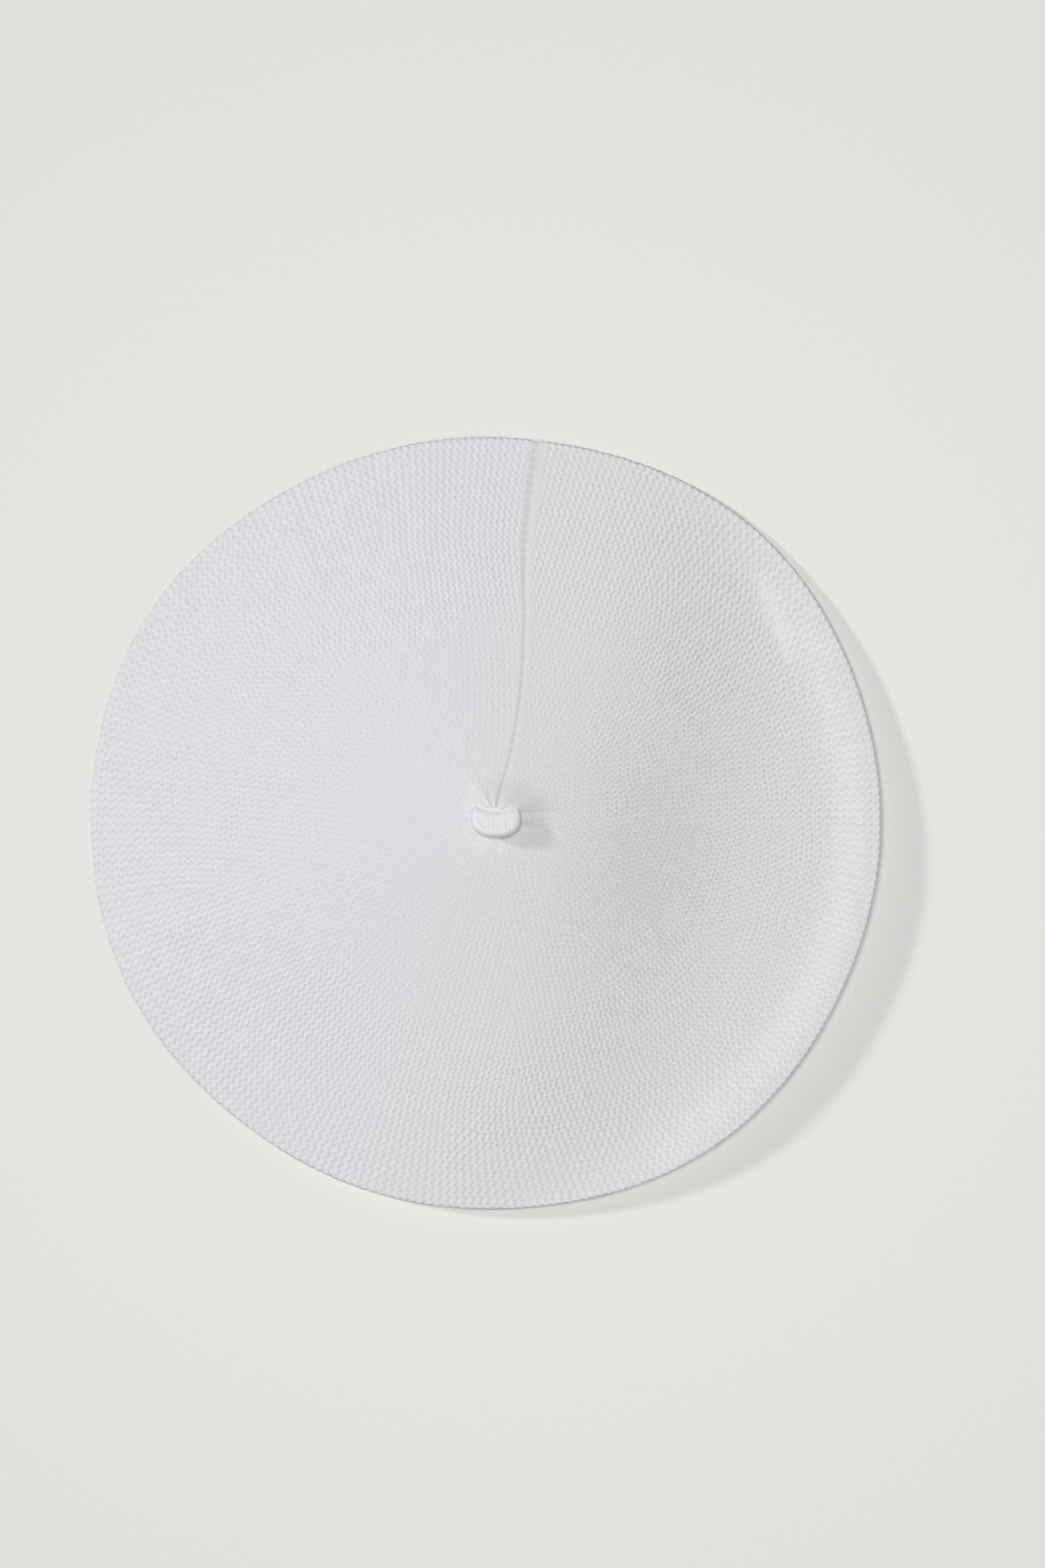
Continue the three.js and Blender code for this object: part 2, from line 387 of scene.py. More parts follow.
def section():
    """The whole line, its running length, the length at each ring, and where each part ends."""
    line, length, rings, ends = [STRETCHES[0][1][:1]], [np.zeros(1)], [], {}
    for name, points, spacing in STRETCHES:
        path = np.concatenate([line[-1][-1:], points])
        start = length[-1][-1]
        length.append(start + np.cumsum(np.hypot(*np.diff(path, axis=0).T)))
        line.append(points)
        ends[name] = end = length[-1][-1]
        rings.append(np.linspace(start, end, max(2, round((end - start) / spacing)), endpoint=False))
    return np.concatenate(line), np.concatenate(length), np.concatenate(rings)[1:], ends


LINE, LENGTH, RINGS, ENDS = section()
print(len(RINGS), "rings over", round(LENGTH[-1]), "mm of sheet, with the rim at", round(ENDS["rim"]))


def sheet_point(run, bearing):
    """The smooth sheet's point at a length along the section and a bearing."""
    radius = np.interp(run, LENGTH, LINE[:, 0])
    height = np.interp(run, LENGTH, LINE[:, 1])
    return lay(radius, height, bearing)


def sheet_normal(run, bearing):
    """The way out of the cloth at the same places."""
    step, turn = 0.2, 0.004
    run = np.clip(run, 2 * step, LENGTH[-1] - 2 * step)
    along = sheet_point(run + step, bearing) - sheet_point(run - step, bearing)
    across = sheet_point(run, bearing + turn) - sheet_point(run, bearing - turn)
    normal = np.cross(along, across)
    return normal / np.linalg.norm(normal, axis=-1, keepdims=True)


# %% [markdown]
# ## Where the stitches run
#
# The beret is knitted sideways. Every course is a rib that runs from the stalk to the rim, 312
# of them. Out near the rim they all lie side by side. Nearer the stalk there is no room, so in
# each of thirteen gores the courses get shorter one after another, and end against the first
# full course of the next gore. That gives parallel ribs that change direction at each gore.
#
# Two fields say where each stitch is: u counts ribs round the beret, and v counts stitches
# along a rib. A painted texture couldn't do this, because its squares would stretch.

# %% Where the stitches run
RIBS = 312
GORES = 13
GORE_RIBS = RIBS // GORES
LEADING_RIBS = 6  # ribs of a gore on the near side of the one that runs straight to the stalk
FULL_RADIUS = 103.0  # beyond this every course is there
STITCH = 3.1
LEANS = [(112, 38, -10), (288, 36, 10), (62, 20, 5)]  # bearing, spread and lean of the rim's ribs


def straightened(t, bearing):
    """Bearing once the seam's lean is taken out, so that the seam is at one bearing."""
    base = math.radians(SEAM_BEARING)
    lean = base - seam_bearing(t)
    away = angle_from(bearing, base)
    share = np.cos(np.clip(away / math.radians(160), -0.5, 0.5) * math.pi) ** 2
    return away + lean * share


def stitch_field(run, bearing, gore):
    """u, v of the stitches that one gore, or each point's own gore, would have there."""
    radius = np.interp(run, LENGTH, LINE[:, 0])
    crown = smoothstep(run, ENDS["crown"] + 6, ENDS["crown"] - 2)
    t = radius / RIM_RADIUS
    away = straightened(t, bearing)
    full = FULL_RADIUS - 5 * np.cos(bearing)
    near = (radius / full) ** 14
    kept = np.where(crown > 0, (1 + 1 / np.maximum(near, 1e-12)) ** (-1 / 14), 1)
    kept = 1 - crown * (1 - kept)
    share = crown / (1 + near)
    first = (gore * GORE_RIBS + LEADING_RIBS) * 2 * math.pi / RIBS
    turn = angle_from(away, first)
    beyond = np.log(np.clip(np.where(crown > 0, radius, RIM_RADIUS), full, None) / full)
    lean = sum(
        -math.radians(size) * np.exp(-((angle_from(bearing, math.radians(at)) / math.radians(spread)) ** 2))
        for at, spread, size in LEANS
    )
    u = (turn * kept + lean * beyond) * RIBS / (2 * math.pi)
    v = (run + radius * (np.cos(turn * share) - 1)) / STITCH
    return u, v


print(RIBS, "ribs in", GORES, "gores of", GORE_RIBS)

# %% [markdown]
# ## One stitch
#
# Seen from its purl side, a course is a cord that swings left and right, one swing for each
# stitch, and its neighbours swing with it. Between two courses is a narrow valley, with a small
# hole at each inner corner of the swing, where the yarn dives to the other face. The relief is
# made as real height in the mesh, so that it still shows at the outline and in a low light.

# %% One stitch
SWAY = 0.27
HAND = np.random.default_rng(7).uniform(-1, 1, (64, 512))  # the unevenness of each stitch


def purl(u, v):
    """Height of the purl side from about -1 in the holes to 1 on the cords."""
    swing = np.arcsin(0.97 * np.sin(2 * math.pi * v)) * 2 / math.pi
    place = u - SWAY * swing
    off = np.abs(place - np.round(place))
    cord = np.sin(math.pi * off) ** 0.6
    corner = 0.5 + 0.5 * np.sin(2 * math.pi * v)
    hole = np.exp(-((off / 0.22) ** 2)) * (1.25 * corner**4 + 0.85 * (1 - corner) ** 4)
    crest = 0.22 * np.cos(4 * math.pi * v) * cord
    uneven = HAND[np.floor(place).astype(int) % 64, np.floor(2 * v).astype(int) % 512]
    return 0.95 * cord - 0.45 - hole + crest + 0.16 * uneven * cord**2


patch = purl(*np.meshgrid(np.linspace(0, 8, 161), np.linspace(0, 8, 161)))
print("a stitch's height runs from", patch.min().round(2), "to", patch.max().round(2))

# %% [markdown]
# ## The stitches over the whole sheet
#
# Two neighbouring gores number their stitches differently, so a hard border would tear the
# relief. Both patterns are worked out everywhere, and within 1.3 mm of a border they are mixed.

# %% The stitches over the whole sheet


def knit_height(run, bearing):
    """The purl relief over the whole sheet, with neighbouring gores joined softly."""
    radius = np.interp(run, LENGTH, LINE[:, 0])
    away = straightened(radius / RIM_RADIUS, bearing) % (2 * math.pi)
    gore, into = np.divmod(away * GORES / (2 * math.pi), 1)
    beside = np.where(into < 0.5, gore - 1, gore + 1)
    to_edge = np.minimum(into, 1 - into) * 2 * math.pi / GORES * radius
    drift = 0.22 * waves(radius * np.cos(bearing), radius * np.sin(bearing), 17, 3)
    heights = []
    for each in (gore, beside):
        u, v = stitch_field(run, bearing, each)
        heights.append(purl(u + 0.12 * drift, v + drift))
    share = 0.5 - 0.5 * smoothstep(to_edge, 0, 1.3)
    return heights[0] * (1 - share) + heights[1] * share


print("a gore is", round(2 * math.pi * RIM_RADIUS / GORES, 1), "mm wide at the rim")

# %% [markdown]
# ## The sheet's own relief
#
# On top of the stitches come the seam, which lies in a groove between two smooth lips, the soft
# gathers round the stalk, and the slight waviness of cloth that has been folded and worn.

# %% The sheet's own relief
RELIEF = (0.06, 0.13, 0.28)  # half height left and right of the stalk, and at the rim


def seam_distance(run, bearing):
    """Millimetres from the seam, positive to its left as the stalk sees it."""
    radius = np.interp(run, LENGTH, LINE[:, 0])
    return radius * angle_from(bearing, seam_bearing(radius / RIM_RADIUS))


def seam_width(run):
    """Half width of the groove: wide at the rim and a mere line near the stalk."""
    return 0.35 + 1.0 * smoothstep(run, 60, 138)


def outer_relief(run, bearing):
    """Height to add to the outer face along its normal, the stitches' share, and the groove's."""
    radius = np.interp(run, LENGTH, LINE[:, 0])
    x, y = radius * np.cos(bearing), radius * np.sin(bearing)
    aside = seam_distance(run, bearing)
    half = seam_width(run)
    groove = np.exp(-((aside / (half + 0.25)) ** 2))
    lip = 0.08 * np.exp(-(((-aside - half - 1.5) / 1.4) ** 2))
    lip = lip + 0.04 * np.exp(-(((aside - half - 1.2) / 1.1) ** 2))
    plain = 1 - smoothstep(np.abs(aside + 0.5), half + 0.9, half + 3.0)
    middle = RELIEF[0] + (RELIEF[1] - RELIEF[0]) * smoothstep(x, -25, 30)
    size = middle + (RELIEF[2] - middle) * smoothstep(run, 25, 125)
    size = size * (1 - 0.15 * waves(x, y, 60, 5)) * (1 - 0.85 * plain)
    near = np.exp(-((radius / 11) ** 2))
    gathers = 0.2 * near * np.cos(13 * bearing + 2.5 * np.sin(2 * bearing + 1))
    rumple = 0.22 * waves(x, y, 38, 11) * smoothstep(ENDS["rim"] + 4, ENDS["rim"] - 8, run)
    depth = groove * (0.25 + 0.17 * smoothstep(run, 5, 120))
    stitches = knit_height(run, bearing)
    shown = stitches * np.clip(size / 0.2, 0, 1) * (1 - groove)
    return size * stitches + lip - depth + gathers + rumple, shown, groove


def inner_relief(run, bearing):
    """The inside of the sheet, whose plain stitches are flatter."""
    return -0.16 * knit_height(2 * ENDS["rim"] - run, bearing)


print("the seam's groove is", round(2 * float(seam_width(ENDS["rim"])), 2), "mm wide at the rim")

# %% [markdown]
# ## Rings and faces
#
# The sheet is a stack of rings. A ring of the outside has six points to a rib where the beret is
# wide. Each time the ring's radius halves, so does its number of points, and one row of
# triangles joins the two. So no cell of the outside is wider than about half a millimetre. Only
# the innermost rings have slivers, and the stalk stands on them. The inside shows less and has
# half as many points.

# %% Rings and faces
MOST_COLUMNS = 6 * RIBS
FEWEST_COLUMNS = 117
HALVING_RADIUS = 75.0


def columns_at(radius, most):
    """Points in a ring of that radius."""
    limit = HALVING_RADIUS
    while most > FEWEST_COLUMNS and radius < limit:
        most, limit = most // 2, limit / 2
    return most


def between(first, second, start, after):
    """Faces between a ring of first points and one of second points, by their first indices."""
    a = np.arange(max(first, second) if first == second else min(first, second))
    if first == second:
        b = (a + 1) % first
        return np.stack([start + a, after + a, after + b, start + b], 1), None
    b = (a + 1) % min(first, second)
    fine, middle, last = 2 * a, 2 * a + 1, (2 * a + 2) % max(first, second)
    if first < second:
        rows = [
            (start + a, after + fine, after + middle),
            (start + a, after + middle, start + b),
            (start + b, after + middle, after + last),
        ]
    else:
        rows = [
            (start + fine, after + a, start + middle),
            (start + middle, after + a, after + b),
            (start + middle, after + b, start + last),
        ]
    return None, np.concatenate([np.stack(row, 1) for row in rows])


def ring_faces(columns):
    """Quads and triangles of a closed stack of rings with a point at each end."""
    firsts = 1 + np.concatenate([[0], np.cumsum(columns)])
    quads, triangles = [], []
    for i in range(len(columns) - 1):
        square, corner = between(columns[i], columns[i + 1], firsts[i], firsts[i + 1])
        quads += [square] if square is not None else []
        triangles += [corner] if corner is not None else []
    a = np.arange(columns[0])
    triangles.append(np.stack([0 * a, 1 + a, 1 + (a + 1) % columns[0]], 1))
    a = np.arange(columns[-1])
    last = firsts[-1]
    triangles.append(np.stack([0 * a + last, firsts[-2] + (a + 1) % columns[-1], firsts[-2] + a], 1))
    return np.concatenate(quads), np.concatenate(triangles)


print("rings have from", columns_at(0, MOST_COLUMNS), "to", MOST_COLUMNS, "points")

# %% [markdown]
# ## The knitted body
#
# On a real beret this is the whole bag: crown, rim and underside in one fabric. A plain form with
# a bump could pass for it from afar, but a low light and the outline would give it away. So the
# smooth sheet's points are moved along their normals by the height of the stitches. At the
# opening's edge the relief fades out, because there the outside turns into the inside.

# %% The knitted body
ring_radius = np.interp(RINGS, LENGTH, LINE[:, 0])
outside = RINGS < ENDS["edge"]
COLUMNS = [
    columns_at(radius, MOST_COLUMNS if out else MOST_COLUMNS // 2)
    for radius, out in zip(ring_radius, outside)
]
run = np.concatenate([[0], np.repeat(RINGS, COLUMNS), [LENGTH[-1]]])
turns = np.concatenate([[0], *[np.arange(n) / n for n in COLUMNS], [0]])
bearing = (turns * 2 * math.pi + math.pi) % (2 * math.pi) - math.pi
on_outside = run < ENDS["edge"]

height, stitches, groove = np.zeros((3, len(run)))
height[on_outside], stitches[on_outside], groove[on_outside] = outer_relief(
    run[on_outside], bearing[on_outside]
)
height[~on_outside] = inner_relief(run[~on_outside], bearing[~on_outside])
calm = smoothstep(np.abs(run - ENDS["edge"]), 0, 3)
normals = sheet_normal(run, bearing)
normals[[0, -1]] = [(0, 0, 1), (0, 0, -1)]
points = sheet_point(run, bearing) + normals * (height * calm)[:, None]
knit_sheet = write_mesh("knit_sheet", points, *ring_faces(COLUMNS))
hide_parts("knit_body")

# %% [markdown]
# ## Marks for painted shade and a map for the finish
#
# Painted shade: the colour is darkened between the cords and in the seam's groove, where shade
# falls, so both amounts are kept at every point for the material. The map lays the outside and
# the inside flat as two discs, which is how this sheet unrolls with the least stretching. A face
# belongs to one disc as a whole, so nothing is torn where the two meet at the opening's edge.

# %% Marks and map
OUTER_DISC = (0.365, 0.365, 0.36)  # middle and radius, as shares of the map's side
INNER_DISC = (0.85, 0.85, 0.14)


def mark(piece, name, values):
    """Keeps one number at every point of a mesh."""
    layer = piece.data.attributes.new(name, "FLOAT", "POINT")
    layer.data.foreach_set("value", values.astype(np.float32))


def disc_map(piece, run, bearing):
    """Lays the sheet's outside and inside flat as two discs."""
    mesh = piece.data
    corner = np.empty(len(mesh.loops), int)
    mesh.loops.foreach_get("vertex_index", corner)
    sides = np.empty(len(mesh.polygons), int)
    mesh.polygons.foreach_get("loop_total", sides)
    firsts = np.concatenate([[0], np.cumsum(sides)[:-1]])
    middle = np.repeat(np.add.reduceat(run[corner], firsts) / sides, sides)
    outer = middle < ENDS["edge"]
    inner_length = LENGTH[-1] - ENDS["edge"]
    share = np.where(outer, run[corner] / ENDS["edge"], (LENGTH[-1] - run[corner]) / inner_length)
    disc = np.where(outer[:, None], OUTER_DISC, INNER_DISC)
    turn = bearing[corner]
    flat = disc[:, :2] + (disc[:, 2] * share)[:, None] * np.stack([np.cos(turn), np.sin(turn)], 1)
    layer = mesh.uv_layers.new(name="OFBake")
    layer.data.foreach_set("uv", flat.astype(np.float32).ravel())


# Painted shade: darker colour in the holes between the cords, and in the seam's groove.
mark(knit_sheet, "painted_hollow_shade", np.clip(0.5 - 0.5 * stitches, 0, 1) * on_outside)
mark(knit_sheet, "groove", groove)
disc_map(knit_sheet, run, bearing)
print("marks and map on", len(run), "points")

# %% [markdown]
# ## Tubes
#
# Threads, the ridge of the seam, the hem and the elastic are all tubes that follow a line. A tube
# is a row of closed rings; it either joins its own beginning or has a flat cap at each end.

# %% Tubes


def ring_joins(rows, sides, closed):
    """Faces that join rows of rings of that many sides, and the caps of an open tube."""
    a = np.arange(sides)
    b = (a + 1) % sides
    first = np.arange(rows if closed else rows - 1)[:, None] * sides
    after = (first + sides) % (rows * sides)
    quads = np.stack([first + a, first + b, after + b, after + a], -1).reshape(-1, 4)
    return [quads] if closed else [quads, a[None, ::-1], (rows - 1) * sides + a[None]]


def facing_out(points, faces):
    """The same faces, turned over where the form would be inside out."""
    volume = 0
    for array in faces:
        for k in range(1, array.shape[1] - 1):
            p, q, r = points[array[:, 0]], points[array[:, k]], points[array[:, k + 1]]
            volume += np.sum(p * np.cross(q, r))
    return faces if volume > 0 else [array[:, ::-1] for array in faces]


def tube(path, width, thickness, sides=8, closed=False):
    """Points and faces round a line; width and thickness are half sizes, at each point or one."""
    ahead = np.roll(path, -1, 0) - np.roll(path, 1, 0) if closed else np.gradient(path, axis=0)
    ahead /= np.linalg.norm(ahead, axis=1, keepdims=True)
    aside = np.cross(ahead, (0, 0, 1))
    aside /= np.linalg.norm(aside, axis=1, keepdims=True)
    above = np.cross(aside, ahead)
    angle = 2 * math.pi * np.arange(sides) / sides
    across = (np.cos(angle) * width)[..., None] * aside[:, None]
    upward = (np.sin(angle) * thickness)[..., None] * above[:, None]
    points = (path[:, None] + across + upward).reshape(-1, 3)
    return points, facing_out(points, ring_joins(len(path), sides, closed))


def write_tubes(name, tubes):
    """One object from several tubes."""
    points, faces, start = [], [], 0
    for each, joins in tubes:
        points.append(each)
        faces += [array + start for array in joins]
        start += len(each)
    return write_mesh(name, np.concatenate(points), *faces)


print("one ring to the next, a thread of 6 sides has", len(ring_joins(2, 6, False)[0]), "faces")

# %% [markdown]
# ## The ladder of the seam
#
# The seam is closed edge to edge, so its yarn shows as a ladder of short strands across the
# groove, one to each stitch. They lie half sunk in the groove and go into the cloth on both sides.

# %% The ladder of the seam
LADDER_THREAD = 0.24


def ladder_strand(run):
    """One strand across the groove at a length along the sheet."""
    radius = np.interp(run, LENGTH, LINE[:, 0])
    reach = seam_width(run) + 0.6
    aside = np.linspace(-reach, reach, 9)
    bearing = seam_bearing(radius / RIM_RADIUS) + (aside + 0.12 * reach) / radius
    height, _, _ = outer_relief(np.full(9, run), bearing)
    level = height - 0.04 - 0.3 * (aside / reach) ** 6
    place = sheet_point(np.full(9, run), bearing)
    return place + sheet_normal(np.full(9, run), bearing) * level[:, None]


strands = [tube(ladder_strand(r), LADDER_THREAD, LADDER_THREAD, 6) for r in np.arange(14, 180, STITCH)]
seam_ladder = write_tubes("seam_ladder", strands)

# %% [markdown]
# ## The ridge inside the seam
#
# Inside, the two edges stand up as a narrow ridge, overcast with the same yarn. It runs down
# under the crown, turns at the rim and comes back over the underside. Its surface has one soft
# swelling for every stitch of the overcasting.

# %% The ridge inside the seam
RIDGE = (1.25, 0.55)
RIDGE_LIFT = 0.75


def ridge_path():
    """The middle of the ridge, under the crown and back along the underside."""
    out = np.linspace(0.09, 0.895, 380)
    back = np.linspace(0.905, 0.70, 100)
    over = lay(out * RIM_RADIUS, cone_height(out) - FABRIC, seam_bearing(out))
    over[:, 2] -= RIDGE_LIFT
    under = lay(back * RIM_RADIUS, 0 * back + FABRIC + RIDGE_LIFT, seam_bearing(back), lofty=False)
    return np.concatenate([over, (over[-1:] * 0.5 + under[:1] * 0.5) + (0, 0.7, 0), under])


path = ridge_path()
length = np.concatenate([[0], np.cumsum(np.linalg.norm(np.diff(path, axis=0), axis=1))])
swell = 1 + 0.16 * np.abs(np.sin(math.pi * length / STITCH)) - 0.12
taper = np.clip(np.minimum(length, length[-1] - length) / 3, 0.3, 1)
seam_ridge = write_tubes(
    "seam_ridge", [tube(path, (RIDGE[0] * swell * taper)[:, None], (RIDGE[1] * swell)[:, None], 24)]
)
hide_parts("radial_seam")

# %% [markdown]
# ## The stalk
#
# The stalk is a knitted tab, folded over towards the wearer's brow. From above it is a D: nearly
# straight sides and a round end. Its neck is gathered into the crown, and a smiling crease parts
# the neck from the tab. Both its outline and its relief are short formulas, so that the crease
# and the pleats keep their place when the tab's length or width is changed.

# %% The stalk's shape
TAB_LENGTH = 15.4
TAB_WIDTH = 8.7  # half
TAB_THICKNESS = 2.1  # half
TAB_END = 7.4  # length of the round end
BEND_RADIUS = 4.6
BEND_LENGTH = BEND_RADIUS * math.radians(68)
TAB_SQUARENESS = 2.3  # 2 would make the end an ellipse
BACK = 4.4
SUNK_FOOT = 1.7  # how deep the root sits in the crown
ROWS, SIDES = 170, 176


def tab_outline(s):
    """Half width of the tab along its length."""
    end = np.clip((s - TAB_LENGTH + TAB_END) / TAB_END, 0, 1)
    neck = 2.2 * np.exp(-(((s - 1.8) / 2.9) ** 2))
    return (TAB_WIDTH - neck) * (1 - end**TAB_SQUARENESS) ** (1 / TAB_SQUARENESS)


def tab_relief(s, across, edge):
    """Height to add to the tab's upper face."""
    crease_at = 6.5 - 2.4 * (across / 8) ** 2
    crease = 0.34 * np.exp(-(((s - crease_at) / 0.8) ** 2))
    puff = 0.30 * np.exp(-(((s - crease_at - 2.2) / 1.6) ** 2))
    pleats = 0.06 * np.cos(2 * math.pi * across / 1.9 + 0.8 * np.sin(across))
    pleats = pleats * (1 - smoothstep(s, 3.5, 5.6))
    rolled = 0.10 * np.exp(-(((edge - 1.0) / 0.35) ** 2)) * smoothstep(s, 6, 8)
    ribs = 0.04 * np.cos(2 * math.pi * across / 1.5) * smoothstep(s, 6, 8)
    return puff - crease + pleats - rolled + ribs + 0.07 * waves(across, s, 4, 21)


print("the tab is", 2 * TAB_WIDTH, "mm wide and", TAB_LENGTH, "mm long, bent over", round(BEND_LENGTH, 1))

# %% [markdown]
# ## The stalk
#
# The tab is a row of closed rings, packed closer towards its round end. It is thickest in the
# middle and rolls over at its edge. Each ring is first set on a straight tab and then carried
# round the bend, which keeps the tab's length true.

# %% The stalk
share = np.linspace(0, 1, ROWS)[:, None]
s = TAB_LENGTH * (1 - (1 - share) ** 1.7) * 0.99999
angle = 2 * math.pi * np.arange(SIDES) / SIDES
across = tab_outline(s) * np.cos(angle)
end = np.clip((s - TAB_LENGTH + TAB_END) / TAB_END, 0, 1)
sideways = np.abs(across) / tab_outline(np.minimum(s, TAB_LENGTH - TAB_END))
from_middle = (sideways**TAB_SQUARENESS + end**TAB_SQUARENESS) ** (1 / TAB_SQUARENESS)
edge = TAB_WIDTH * np.clip(1 - from_middle, 0, 1)
half = TAB_THICKNESS * np.sqrt(1 - (1 - np.minimum(edge / 1.3, 1)) ** 2)
upper = np.sin(angle) > 0
relief = tab_relief(s, across, edge) * np.minimum(edge / 0.8, 1)
through = np.where(upper, -half - relief, half)
bend = np.clip(s, 0, BEND_LENGTH) / BEND_RADIUS
straight = np.maximum(s - BEND_LENGTH, 0)
reach = BEND_RADIUS - through
back = BEND_RADIUS - reach * np.cos(bend) + straight * np.sin(bend)
rise = reach * np.sin(bend) + straight * np.cos(bend)
foot = float(lay(np.zeros(1), np.array([cone_height(0)]), np.zeros(1))[0, 2]) - SUNK_FOOT
middle = APEX + SHIFT
points = np.stack([middle[0] + across, middle[1] + BACK - back, foot + rise], -1).reshape(-1, 3)
stalk = write_mesh("stalk_tab", points, *facing_out(points, ring_joins(ROWS, SIDES, False)))
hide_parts("stalk")

# %% [markdown]
# ## The stitches under the stalk
#
# The stalk is sewn on with a few turns of thread, which cross one another in a small rosette
# under the crown.

# %% The stitches under the stalk
turn = np.linspace(0, 8 * math.pi, 600, endpoint=False)
ring = 2.65 + 0.38 * np.sin(17 / 4 * turn)
level = foot + SUNK_FOOT - FABRIC - 0.95 + 0.36 * np.cos(17 / 4 * turn)
path = np.stack([middle[0] + ring * np.cos(turn), middle[1] + ring * np.sin(turn), level], 1)
rosette = write_tubes("stalk_rosette", [tube(path, 0.3, 0.3, 8, closed=True)])
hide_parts("stalk_stitches")

# %% [markdown]
# ## The hem
#
# The head opening ends in a separate band, folded double round a flat elastic. The band is
# ribbed, because ribs give. Its section is one closed line, and the ribs stand out along it.

# %% The hem
HEM_FOLD, HEM_EDGE, HEM_FABRIC, HEM_TOP = 78.0, 92.0, 1.8, 5.0
HEM_RIBS = 156
HEM_COLUMNS = 6 * HEM_RIBS
HEM_ROWS = 74


def even(points, count):
    """Points evenly spaced along a closed line, and the way out of it at each."""
    loop = np.concatenate([points, points[:1]])
    length = np.concatenate([[0], np.cumsum(np.hypot(*np.diff(loop, axis=0).T))])
    at = np.linspace(0, length[-1], count, endpoint=False)
    spaced = np.stack([np.interp(at, length, loop[:, k]) for k in (0, 1)], 1)
    ahead = np.roll(spaced, -1, 0) - np.roll(spaced, 1, 0)
    ahead /= np.hypot(*ahead.T)[:, None]
    return spaced, np.stack([ahead[:, 1], -ahead[:, 0]], 1), at


def turned(spaced, columns):
    """A closed section carried round the beret, laid in its place."""
    round_ = 2 * math.pi * np.arange(columns) / columns
    return lay(spaced[..., 0], spaced[..., 1], np.broadcast_to(round_, spaced.shape[:2]), lofty=False)


fold_out = bow((HEM_FOLD + HEM_TOP / 2, HEM_TOP / 2), (HEM_TOP / 2, HEM_TOP / 2), 270, 90)
slit = HEM_TOP / 2 - HEM_FABRIC
fold_in = bow((HEM_FOLD + HEM_TOP / 2, HEM_TOP / 2), (slit, slit), 90, 270)
leg = HEM_FABRIC / 2
upper_end = bow((HEM_EDGE - leg, HEM_TOP - leg), (leg, leg), 90, -90)
lower_end = bow((HEM_EDGE - leg, leg), (leg, leg), 90, -90)
band_line, band_out, at = even(np.concatenate([fold_out, upper_end, fold_in, lower_end]), HEM_ROWS)
if np.sum(band_out * (band_line - band_line.mean(0))) < 0:
    band_out = -band_out
places = np.arange(HEM_COLUMNS) / 6
rib = purl(places[None, :] + 0.5, at[:, None] / STITCH)
depth = (0.16 * rib - 0.20)[..., None] * band_out[:, None]
points = turned(band_line[:, None] + depth, HEM_COLUMNS).reshape(-1, 3)
head_band = write_mesh("ribbed_hem", points, *facing_out(points, ring_joins(HEM_ROWS, HEM_COLUMNS, True)))
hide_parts("head_band")

# %% [markdown]
# ## The elastic and the stitching of the hem
#
# The elastic is braided tape, so its face has slanting plaits that mirror one another about the
# middle. A chain stitch closes the hem: two strands that part and meet once for every stitch.

# %% The elastic and the stitching
ELASTIC = (81.2, 89.3, 2.5, 0.3)  # inner and outer radius, height, half thickness
PLAITS = 195

flat_oval = 2 * math.pi * np.arange(28) / 28
width = (ELASTIC[1] - ELASTIC[0]) / 2
aside = np.sign(np.cos(flat_oval)) * np.abs(np.cos(flat_oval)) ** 0.6 * width
oval = np.stack([aside, np.sin(flat_oval)], 1)
slant = np.abs(oval[:, 0])[:, None] / 3 + np.arange(780)[None, :] * PLAITS / 780
plait = ELASTIC[3] + 0.05 * np.cos(2 * math.pi * slant)
radius = (ELASTIC[0] + ELASTIC[1]) / 2 + oval[:, 0][:, None] + 0 * plait
points = turned(np.stack([radius, ELASTIC[2] + oval[:, 1][:, None] * plait], -1), 780).reshape(-1, 3)
elastic = write_mesh("braided_elastic", points, *facing_out(points, ring_joins(28, 780, True)))
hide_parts("hem_elastic")

CHAIN = (93.3, 3.5, 195)  # radius, height and number of stitches
turn = 2 * math.pi * np.arange(CHAIN[2] * 8) / (CHAIN[2] * 8)
parted = 0.1 + 0.3 * np.sin(CHAIN[2] * turn / 2) ** 2
strands = []
for side in (-1, 1):
    wave = CHAIN[1] + 0.14 * side * np.cos(CHAIN[2] * turn)
    strands.append(tube(lay(CHAIN[0] + side * parted, wave, turn, lofty=False), 0.2, 0.2, 6, closed=True))
chain = write_tubes("hem_chain", strands)
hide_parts("hem_stitching")

# %% [markdown]
# ## Tools for shaders
#
# A material is a small tree of nodes. These tools make the few kinds that are needed: a group
# with named sockets, a noise, a sum and a mix. The noise is laid in the object's own space, so
# it doesn't stretch with the map.

# %% Tools for shaders


def node_group(name, inputs, outputs):
    """An empty group with named sockets, and its two end nodes."""
    tree = bpy.data.node_groups.new(name, "ShaderNodeTree")
    for way, sockets in (("INPUT", inputs), ("OUTPUT", outputs)):
        for label, kind, value in sockets:
            socket = tree.interface.new_socket(label, in_out=way, socket_type=kind)
            if value is not None:
                socket.default_value = value
    return tree, tree.nodes.new("NodeGroupInput"), tree.nodes.new("NodeGroupOutput")


def noise(tree, scale, detail):
    """Object-space noise; scale is in features per metre."""
    place = tree.nodes.new("ShaderNodeTexCoord")
    grain = tree.nodes.new("ShaderNodeTexNoise")
    grain.inputs["Scale"].default_value = scale
    grain.inputs["Detail"].default_value = detail
    grain.inputs["Roughness"].default_value = 0.62
    tree.links.new(place.outputs["Object"], grain.inputs["Vector"])
    return grain.outputs["Fac"]


def calculate(tree, operation, first, second):
    """A Math node on two sockets or numbers."""
    node = tree.nodes.new("ShaderNodeMath")
    node.operation = operation
    for socket, value in zip(node.inputs, (first, second)):
        if isinstance(value, (int, float)):
            socket.default_value = value
        else:
            tree.links.new(value, socket)
    return node.outputs[0]


